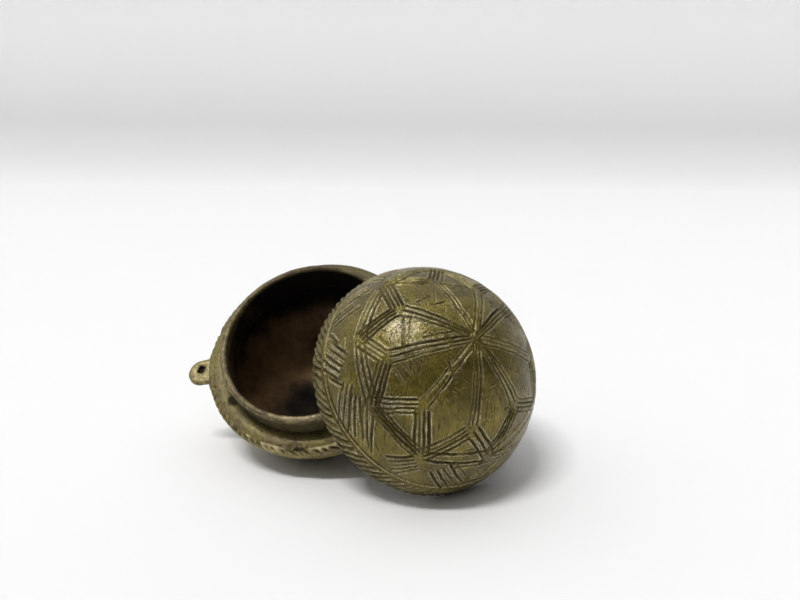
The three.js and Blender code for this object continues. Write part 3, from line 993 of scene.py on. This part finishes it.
def shoulderSpots(points, spots):
    out, turn = roundAxis(points)
    total = np.zeros(len(points))
    for at, inward, long, deep, force in spots:
        aside = fromBearing(turn, at) * math.radians(34) / long       # 34 mm from the axis
        across = (35 - out + points[:, 2] - inward) / deep
        total = np.maximum(total, force * np.clip(1.2 - aside ** 2 - across ** 2, 0, 1) * (points[:, 2] > -3))
    return total


# painted shade: the hollow is less black on one side
def nearSide(points):
    away = np.radians(roundAxis(points)[1] - bowl["paler"])
    return 1 - 0.5 * np.clip(np.cos(away), 0, 1)


# worn places of the bowl, darker in the groove by the collar, on the far side and at dull spots; painted
# shade blackens its hollow towards the neck, and a painted pool of light brightens part of it
def bowlMarks(points):
    out, height = roundAxis(points)[0], points[:, 2]
    hollow = (out / 33.5) ** 2 + (height / 31.5) ** 2 < 1
    groove = 0.6 * np.clip((30.1 - out) / 1.6, 0, 1) * (height > -3)
    # painted shade: the hollow turns black towards the neck, less on the paler side, and at the shade spots
    hollowShade = np.maximum(np.clip((height + 19) / 9, 0, 1) * nearSide(points), nearSpots(points, bowl["shade"]))
    shade_and_dirt = np.where(hollow & (height < -2.8), hollowShade, groove)
    # in the hollow this is a painted pool of light; on the shoulder these are worn places
    rubbed = np.where(hollow, nearSpots(points, bowl["painted_light"]), shoulderSpots(points, bowl["worn"]))
    back = 0.4 * np.clip(-points[:, 0] / 34, 0, 1) * (height > -1.6)
    return {"rubbed": rubbed, "shade_and_dirt": np.maximum(np.maximum(shade_and_dirt, back), shoulderSpots(points, bowl["dull"]))}


def knockedPiece(piece, finish, cast):
    spots = [(math.radians(turn), out, height, size) for turn, out, height, size in bowl["knocks"]]
    knocks = dentPoints([(out * math.cos(a), out * math.sin(a), height, size)
                         for a, out, height, size in spots])
    addTree(piece, "cast", finish, {"Dents": knocks, **cast})
    settle(piece, bowlLie)
    takeAway(knocks)
    return piece


# the star again, with its knots spread round evenly, and hatching that leans to and fro under the border
bowlInner = [0, 41, 79, 121, 160, 199, 241, 280, 322]      # degrees round the pole
bowlOuter = [-19, 20, 60, 100, 141, 180, 220, 260, 302]
bowlStar = {
    "hub": (1.0, 40),
    "inner": [(37 + 2 * math.sin(k * 2.1), turn) for k, turn in enumerate(bowlInner)],
    "outer": [(53 + 1.2 * math.sin(k * 1.7), turn) for k, turn in enumerate(bowlOuter)],
    "spokes": [(3, 3.0, 3.8)] * 9,
    "hubGaps": (6.4, 0.5),
    "back": [4] * 9,
    "forth": [4, 4, 3, 4, 4, 4, 5, 4, 4],
    "legWidths": (3.4, 3.7),
    "legGaps": (0.5, -0.2),
    "ring": [3, 2, 3, 3, 4, 3, 3, 2, 3],
    "ringWidths": (2.6, 3.6),
    "ringGaps": (0.3, 0.3),
}
bowlBundles = starBundles(bowlStar) + [
    ((59.5, turn + (3 if k % 2 else 15)), (74, turn + (16 if k % 2 else 2)), 5, 6.8, 7.6, 1)
    for k, turn in enumerate(range(0, 360, 20))]


def makeBowlBody():
    body = cappedShell("bowlBody", bowl, bowlSkin, bowlHollow, bowlMarks)
    lines = engrave(body, "bowl", bowlBundles, bowlSkin, bowl)
    knockedPiece(body, "bowl", bowl["cast"])
    takeAway(lines)
    return body


# the edge stands out a little where the lug is cast on
def boss(angle, height):
    at, half, rise = bowl["boss"]
    away = fromBearing(np.degrees(angle), at) / half
    return rise * np.clip(1 - away ** 2, 0, 1) ** 2 * np.clip((height + 8) / 4, 0, 1)


# the rope edge is worn off on the side towards -x and at the lug
def edgeKept(angle):
    atLug = np.clip(1.4 - (fromBearing(np.degrees(angle), lug["bearing"]) / 13) ** 2, 0, 1)
    return np.clip(0.5 + 0.65 * np.cos(angle), 0, 1) * (1 - atLug)


def makeBowlShoulder():
    body = Shell()
    fine, coarse = loopAngles(bowl["columns"]), loopAngles(bowl["columns"] // 4)
    centre, wide, lowest, tall = bowl["edge"]
    low = borderHeight(fine, bowl)
    line = bowlSkin.angleAt(low)
    rings = []
    for share in np.arange(bowl["rows"] + 1) / bowl["rows"]:
        height = low + (lowest - low) * share
        here = bowlSkin.angleAt(height)
        rings.append(body.add(bowlSkin.at(here)[0] + boss(fine, height), height, fine, bowlSkin.lead(here),
                              dress=1.0, border=(line - here) * bowlSkin.wide, rim=-height))
    for turn in range(8, 91, 8):
        a = math.radians(turn)
        height = lowest + tall * math.sin(a)
        radius = centre + (wide + boss(fine, height)) * math.cos(a)
        rings.append(body.add(radius, height, fine, (math.cos(a), math.sin(a)), border=-9.0, rim=-height,
                              dress=min(1.0, (92 - turn) / 36) * edgeKept(fine)))
    out = np.linspace(*bowl["ledge"])
    crest, top, fall, least = bowl["crest"]
    height = np.maximum(top - fall * (out - crest) ** 2, least)      # the ledge is slightly domed
    slope = np.gradient(height, out)
    rings += [body.add(r, z, fine, (-s, 1), border=-12.0) for r, z, s in list(zip(out, height, slope))[1:]]
    body.bridge(rings)
    inner = [body.add(r, z, coarse, lead, inside=mark) for r, z, lead, mark in bowl["under"]]
    last = bowlHollow.angleAt(bowl["hollowFrom"])
    inner.append(body.add(*bowlHollow.at(last), coarse, bowlHollow.lead(last, -1), inside=1))
    body.thin(rings[-1], inner[0])
    body.bridge(inner)
    body.thin(rings[0], inner[-1])
    shoulder = body.build("bowlShoulder", bowlMarks)
    carveRope(shoulder, "bowl", bowl)
    return knockedPiece(shoulder, "bowl", bowl["cast"])


# Collar
collar = {
    "columns": 640,
    "pitch": 0.3,          # between rings, in mm
    "outside": [(28.3, -2.7), (28.3, 0.0), (28.08, 0.7), (28.0, 2.0), (28.0, 4.2), (28.1, 5.4)],
    "inside": [(26.6, 5.0), (26.6, -2.7)],
    # rolled lip: distance from the axis, height, half width and rise
    "lip": (27.45, 6.2, 1.05, 0.9),
    # bright place on the lip, painted highlight with wear: degrees round, half length in degrees, force
    "worn": (6, 20, 0.35),
    # where the brass runs down inside: degrees round, half length, how far
    "bare": (292, 52, 2.2),
    "cast": {"Seed": 9, "Swell": 0.3, "Swell size": 4.0, "Dimple": 0.1},
}


def bareInside(turn):
    at, long, down = collar["bare"]
    return down * np.clip(1.1 - (fromBearing(turn, at) / long) ** 2, 0, 1)


# outside of the collar: painted shade darkens it towards its foot, and its dull lip carries a painted
# highlight with wear, brightest at the front; painted shade turns the inside black, less on the paler side;
# darker on the far side
def collarMarks(points):
    (out, turn), height = roundAxis(points), points[:, 2]
    at, long, force = collar["worn"]
    # the lip's top is bright all round, most at the front: painted highlight with wear
    front = np.clip(1.3 - (fromBearing(turn, at) / long) ** 2, 0, 1)
    top = np.clip((height - 6.5) / 0.5, 0, 1)
    # painted shade: darker towards the foot of the collar and black inside it
    foot = np.clip((5.5 - height) / 3.4, 0, 0.6)
    below = np.clip((7.1 - bareInside(turn) - height) / 0.9, 0, 1)
    within = np.clip((27.0 - out) / 0.4, 0, 1) * below * nearSide(points)
    back = 0.45 * np.clip(-points[:, 0] / 27, 0, 1)
    return {"rubbed": top * (0.26 + force * front), "shade_and_dirt": np.maximum(np.maximum(foot, within), back)}


def makeBowlCollar():
    at, level, half, rise = collar["lip"]
    lip = [(at + half * math.cos(a), level + rise * math.sin(a)) for a in np.radians(range(0, 181, 12))]
    profile = collar["outside"] + lip + collar["inside"]
    path = np.array(profile + profile[:1])
    along = np.concatenate(([0], np.cumsum(np.hypot(*np.diff(path, axis=0).T))))
    even = np.linspace(0, along[-1], int(along[-1] / collar["pitch"]))
    steps = np.unique(np.concatenate((even, along)))[:-1]
    radius, height = np.interp(steps, along, path[:, 0]), np.interp(steps, along, path[:, 1])
    ahead = [np.roll(values, -1) - np.roll(values, 1) for values in (radius, height)]
    body = Shell()
    fine = loopAngles(collar["columns"])
    bare = 6.0 - bareInside(np.degrees(fine))
    rings = [body.add(r, z, fine, (dz, -dr), inside=(r < 26.7) & (z < bare))
             for r, z, dr, dz in zip(radius, height, *ahead)]
    body.bridge(rings + rings[:1])
    return knockedPiece(body.build("bowlCollar", collarMarks), "collar", collar["cast"])


# Lug
lug = {
    "bearing": 288,         # degrees round the bowl
    "centre": 37.7,         # distance of the ear's round part from the axis, and of its tip
    "tip": 42.0,
    "halfWidth": 4.3,
    "root": [(36.8, 0), (36.0, 0), (35.3, 0.05), (34.6, 0.1), (33.8, 0.2), (32.6, -1.3)],      # (out, wider)
    "middle": -1.9,         # height of the plate's middle
    "halfThick": 1.0,
    "around": 120,          # points round the hole, and round the section
    "section": 56,
    "hole": (37.7, -0.85),
    "holeHalf": (0.95, 1.2),
    "holeTurn": -28,
    "thicken": (36.2, 2.8),     # distance from the axis where it starts to get thicker, and over what length
    # a dark plug in the hole, painted shade where the floor would show through: (share of the hole, rise)
    # from its middle out
    "plug": [(0.35, 0.05), (0.7, 0.0), (1.08, -0.1)],
    "plugAt": (-0.25, 0.2),     # its height from the plate's middle, and half its thickness
    "cast": {"Seed": 21, "Swell": 0.3, "Swell size": 2.5, "Dimple": 0.12},
}


# how far the hole's edge and the ear's outline are from the hole's middle, in each direction
def lugReach(around):
    half, centre = lug["halfWidth"], lug["centre"]
    tip = lug["tip"] - centre
    ear = [(centre + tip * math.cos(a), half * math.sin(a)) for a in np.radians(range(-90, 91, 10))]
    root = [(u, half + wider) for u, wider in lug["root"]]
    outline = np.array(ear + root + [(u, -v) for u, v in reversed(root)]) - lug["hole"]
    bearing, far = np.arctan2(outline[:, 1], outline[:, 0]), np.hypot(*outline.T)
    own = around - math.radians(lug["holeTurn"])
    wide, tall = lug["holeHalf"]
    hole = (np.abs(np.cos(own) / wide) ** 4 + np.abs(np.sin(own) / tall) ** 4) ** (-1 / 4)
    return hole, np.interp(around, bearing, far, period=2 * math.pi)


# the ear, whose section runs round from the hole to the outline: its points, faces and painted shade
def lugBody(around, hole, reach):
    middle, (holeU, holeV) = lug["middle"], lug["hole"]
    section = np.linspace(0, 2 * math.pi, lug["section"], endpoint=False)
    away = hole[:, None] + (reach - hole)[:, None] * (1 - np.cos(section))[None, :] / 2
    u = holeU + away * np.cos(around)[:, None]
    v = holeV + away * np.sin(around)[:, None]
    begin, run = lug["thicken"]
    blend = np.clip((begin - u) / run, 0, 1) ** 2
    swell = np.sign(np.sin(section)) * np.abs(np.sin(section)) ** 0.4
    level = middle - 0.3 * blend + (lug["halfThick"] + 0.1 * blend) * swell
    index = np.arange(u.size).reshape(u.shape)
    ahead = np.roll(index, -1, 1)
    corners = (index, ahead, np.roll(ahead, -1, 0), np.roll(index, -1, 0))
    faces = np.column_stack([a.ravel() for a in corners]).tolist()
    # painted shade: dark in and round the hole, underneath and towards the root
    inHole = np.clip(1 - away / (hole[:, None] * 1.35), 0, 1) * 3
    under = 0.8 * np.clip((middle + 0.3 - level) / 0.5, 0, 1) + 0.3 * blend
    points = np.column_stack((u.ravel(), v.ravel(), level.ravel()))
    return points, faces, np.maximum(inHole, under).ravel()


# the dark plug in the hole, painted shade: rings of points, then two poles; first is the number of the first
# of these points
def lugPlug(around, hole, first):
    middle, (holeU, holeV) = lug["middle"], lug["hole"]
    low, thick = lug["plugAt"]
    sides = [(r, thick + z) for r, z in lug["plug"]] + [(r, -thick - z) for r, z in reversed(lug["plug"])]
    rings = [np.column_stack((holeU + r * hole * np.cos(around), holeV + r * hole * np.sin(around),
                              np.full(len(around), middle + low + z))) for r, z in sides]
    poles = np.array([(holeU, holeV, middle + low + thick), (holeU, holeV, middle + low - thick)])
    points = np.concatenate(rings + [poles])
    count, pole = len(around), first + len(points) - 2
    loops = [first + k * count + np.arange(count) for k in range(len(rings))]
    faces = []
    for one, other in zip(loops, loops[1:]):
        faces += np.column_stack((one, np.roll(one, -1), np.roll(other, -1), other)).tolist()
    for base, tip in ((loops[0], pole), (loops[-1], pole + 1)):
        faces += np.column_stack((base, np.roll(base, -1), np.full(count, tip))).tolist()
    return points, faces


def makeBowlLug():
    around = np.linspace(0, 2 * math.pi, lug["around"], endpoint=False)
    hole, reach = lugReach(around)
    points, faces, shade_and_dirt = lugBody(around, hole, reach)
    plug, plugFaces = lugPlug(around, hole, len(points))
    points = np.concatenate((points, plug))
    # the plug is all painted shade
    shade_and_dirt = np.concatenate((shade_and_dirt, np.full(len(plug), 1.5)))
    turn = math.radians(lug["bearing"])
    u, v = points[:, 0], points[:, 1]
    x = u * math.cos(turn) - v * math.sin(turn)
    y = u * math.sin(turn) + v * math.cos(turn)
    mesh = bpy.data.meshes.new("bowlLug")
    mesh.from_pydata(np.column_stack((x, y, points[:, 2])).tolist(), [], faces + plugFaces)
    turnOutward(mesh)
    normals = np.empty(len(mesh.vertices) * 3, np.float32)
    mesh.vertices.foreach_get("normal", normals)
    putField(mesh, "shade_and_dirt", shade_and_dirt)
    putField(mesh, "lead", normals, "FLOAT_VECTOR")
    made = placed("bowlLug", mesh)
    addTree(made, "cast", "lug", lug["cast"])
    return settle(made, bowlLie)


finishes = {
    "lid": brassFinish("lidBrass", 1.0, {
        "Tone": (0.185, 0.144, 0.026, 1), "Second tone": (0.112, 0.09, 0.021, 1),
        "Third tone": (0.165, 0.12, 0.05, 1), "Dirt_and_shade_colour": (0.047, 0.035, 0.012, 1),
        "Bright": (0.52, 0.47, 0.31, 1), "Metal": 0.68, "Gloss": 0.27, "Varnish": 0.2}),
    "bowl": brassFinish("bowlBrass", 1.0, {
        "Tone": (0.225, 0.188, 0.066, 1), "Second tone": (0.165, 0.135, 0.06, 1),
        "Third tone": (0.195, 0.147, 0.088, 1), "Dirt_and_shade_colour": (0.04, 0.031, 0.012, 1),
        "Bright": (0.56, 0.47, 0.25, 1), "Metal": 0.55, "Gloss": 0.42, "Contrast": 0.9, "Varnish": 0.06}),
    "collar": brassFinish("collarBrass", 1.0, {
        "Tone": (0.23, 0.183, 0.083, 1), "Second tone": (0.125, 0.1, 0.052, 1),
        "Third tone": (0.15, 0.105, 0.078, 1), "Dirt_and_shade_colour": (0.046, 0.038, 0.016, 1),
        "Bright": (0.44, 0.36, 0.22, 1), "Metal": 0.45, "Patch size": 3.0, "Contrast": 1.3, "Grime": 0.8,
        "Varnish": 0.08}),
    "lug": brassFinish("lugBrass", 0.5, {
        "Tone": (0.34, 0.29, 0.128, 1), "Second tone": (0.2, 0.167, 0.076, 1),
        "Dirt_and_shade_colour": (0.02, 0.012, 0.005, 1), "Bright": (0.5, 0.43, 0.25, 1), "Metal": 0.5, "Patch size": 2.0,
        "Grime": 0.7, "Contrast": 1.2, "Varnish": 0.1}),
    "bowlInside": darkFinish("bowlDark"),
    "collarInside": darkFinish("collarDark"),
    "lidInside": darkFinish("lidDark"),
}
print("finishes: made")

pieces = [
    (makeLidDome(), "lid", "lid_shell", "lid_brass"),
    (makeLidBand(), "lid", "lid_shell", "lid_brass"),
    (makeLidRim(), "lid", "lid_shell", "lid_brass"),
    (makeBowlBody(), "bowl", "bowl_shell", "bowl_brass"),
    (makeBowlShoulder(), "bowl", "bowl_shell", "bowl_brass"),
    (makeBowlCollar(), "bowl", "bowl_neck", "collar_brass"),
    (makeBowlLug(), "bowl", "lug", "worn_brass"),
]
for piece, body, node, slot in pieces:
    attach(piece, body)
    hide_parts(node)
print("pieces: placed")


# Table, light and camera
room = {
    "front": -3.0,         # y of the sheet's front edge, in metres
    "coveStart": 1.32,     # y where the sheet starts to rise
    "coveRadius": 0.16,
    "height": 2.2,
    "halfWidth": 4.0,
    "white": 0.965,
    "wallGrey": 0.92,
    "wallLow": 0.71,
    "wallGlow": 0.2,       # seen by the camera and in reflections; it lights nothing else
    "sky": (0.05, 0.94),   # strength level with the floor, and more overhead
    "skyLeft": 0.44,
    "skyBack": 0.58,
    "skyLeast": 0.05,
    "lamp": 1.62,          # a long lamp overhead, as a row of small suns from left to right
    "lampRow": (-0.49, -0.38, -0.27, -0.16),
    "lampFront": -0.28,
    "lampSpread": 5,       # degrees
}


def grey(level):
    return (level, level, level, 1)


def makePaper():
    paper, w, shader, place = newMaterial("paper")
    up = w.split(place)["Z"]
    white = w.mix(w.noise(place, 0.02, 3.0), grey(room["white"]), grey(room["white"] * 0.985))
    wall = w.mix(w.ramp(up, 90.0, 420.0), grey(room["wallLow"]), grey(room["wallGrey"]))
    rise = w.ramp(up, 0.0, 90.0)
    w.feed(shader.inputs["Base Color"], w.mix(rise, white, wall))
    ray = w.node("ShaderNodeLightPath").outputs
    seen = w.plus(ray["Is Camera Ray"], ray["Is Glossy Ray"])
    seen = w.math("ADD", seen, ray["Is Transmission Ray"], clamp=True)
    shader.inputs["Emission Color"].default_value = (1, 1, 1, 1)
    w.feed(shader.inputs["Emission Strength"], w.times(w.times(seen, rise), room["wallGlow"]))
    shader.inputs["Roughness"].default_value = 0.9
    shader.inputs["Specular IOR Level"].default_value = 0.1
    return paper


def makeSheet():
    start, radius = room["coveStart"], room["coveRadius"]
    turns = np.linspace(0, math.pi / 2, 25)
    cove = [(start + radius * math.sin(a), radius * (1 - math.cos(a))) for a in turns]
    path = [(room["front"], 0.0)] + cove + [(start + radius, room["height"])]
    points = [(x, y, z) for y, z in path for x in (-room["halfWidth"], room["halfWidth"])]
    faces = [(2 * i, 2 * i + 1, 2 * i + 3, 2 * i + 2) for i in range(len(path) - 1)]
    mesh = bpy.data.meshes.new("paperSheet")
    mesh.from_pydata(points, [], faces)
    mesh.shade_smooth()
    mesh.materials.append(makePaper())
    made = placed("paperSheet", mesh)


def makeLight():
    world = bpy.data.worlds.new("softRoom")
    world.use_nodes = True
    w = Wiring(world.node_tree)
    way = w.split(w.node("ShaderNodeTexCoord").outputs["Generated"])
    strength = w.timesPlus(w.math("POWER", w.most(way["Z"], 0.0), 1.6), room["sky"][1], room["sky"][0])
    strength = w.timesPlus(way["X"], -room["skyLeft"], strength)
    strength = w.timesPlus(way["Y"], room["skyBack"], strength)
    sky = world.node_tree.nodes["Background"]
    sky.inputs["Color"].default_value = (1, 1, 1, 1)
    w.feed(sky.inputs["Strength"], w.most(strength, room["skyLeast"]))
    scene.world = world
    for aside in room["lampRow"]:
        lamp = bpy.data.lights.new("longLamp", "SUN")
        lamp.energy = room["lamp"] / len(room["lampRow"])
        lamp.angle = math.radians(room["lampSpread"])
        way = Vector((aside, room["lampFront"], 1))
        placed("longLamp", lamp).rotation_euler = way.to_track_quat("Z", "Y").to_euler()


eye = {"at": (0.013534, -0.179337, 0.09681), "down": 14.22, "turn": 0.038, "roll": -0.623, "lens": 27}


def makeCamera():
    down, turn, roll = [math.radians(eye[key]) for key in ("down", "turn", "roll")]
    ahead = Vector((math.sin(turn) * math.cos(down), math.cos(turn) * math.cos(down), -math.sin(down)))
    right = ahead.cross(Vector((0, 0, 1))).normalized()
    low = ahead.cross(right)
    x = math.cos(roll) * right + math.sin(roll) * low
    y = math.sin(roll) * right - math.cos(roll) * low
    lens = bpy.data.cameras.new("eye")
    lens.lens, lens.sensor_width, lens.clip_start = eye["lens"], 36, 0.01
    scene.camera = placed("eye", lens)
    scene.camera.matrix_world = Matrix.Translation(eye["at"]) @ Matrix((x, y, -ahead)).transposed().to_4x4()


makeSheet()
makeLight()
makeCamera()
scene.view_settings.view_transform = "Standard"
print("room: made")
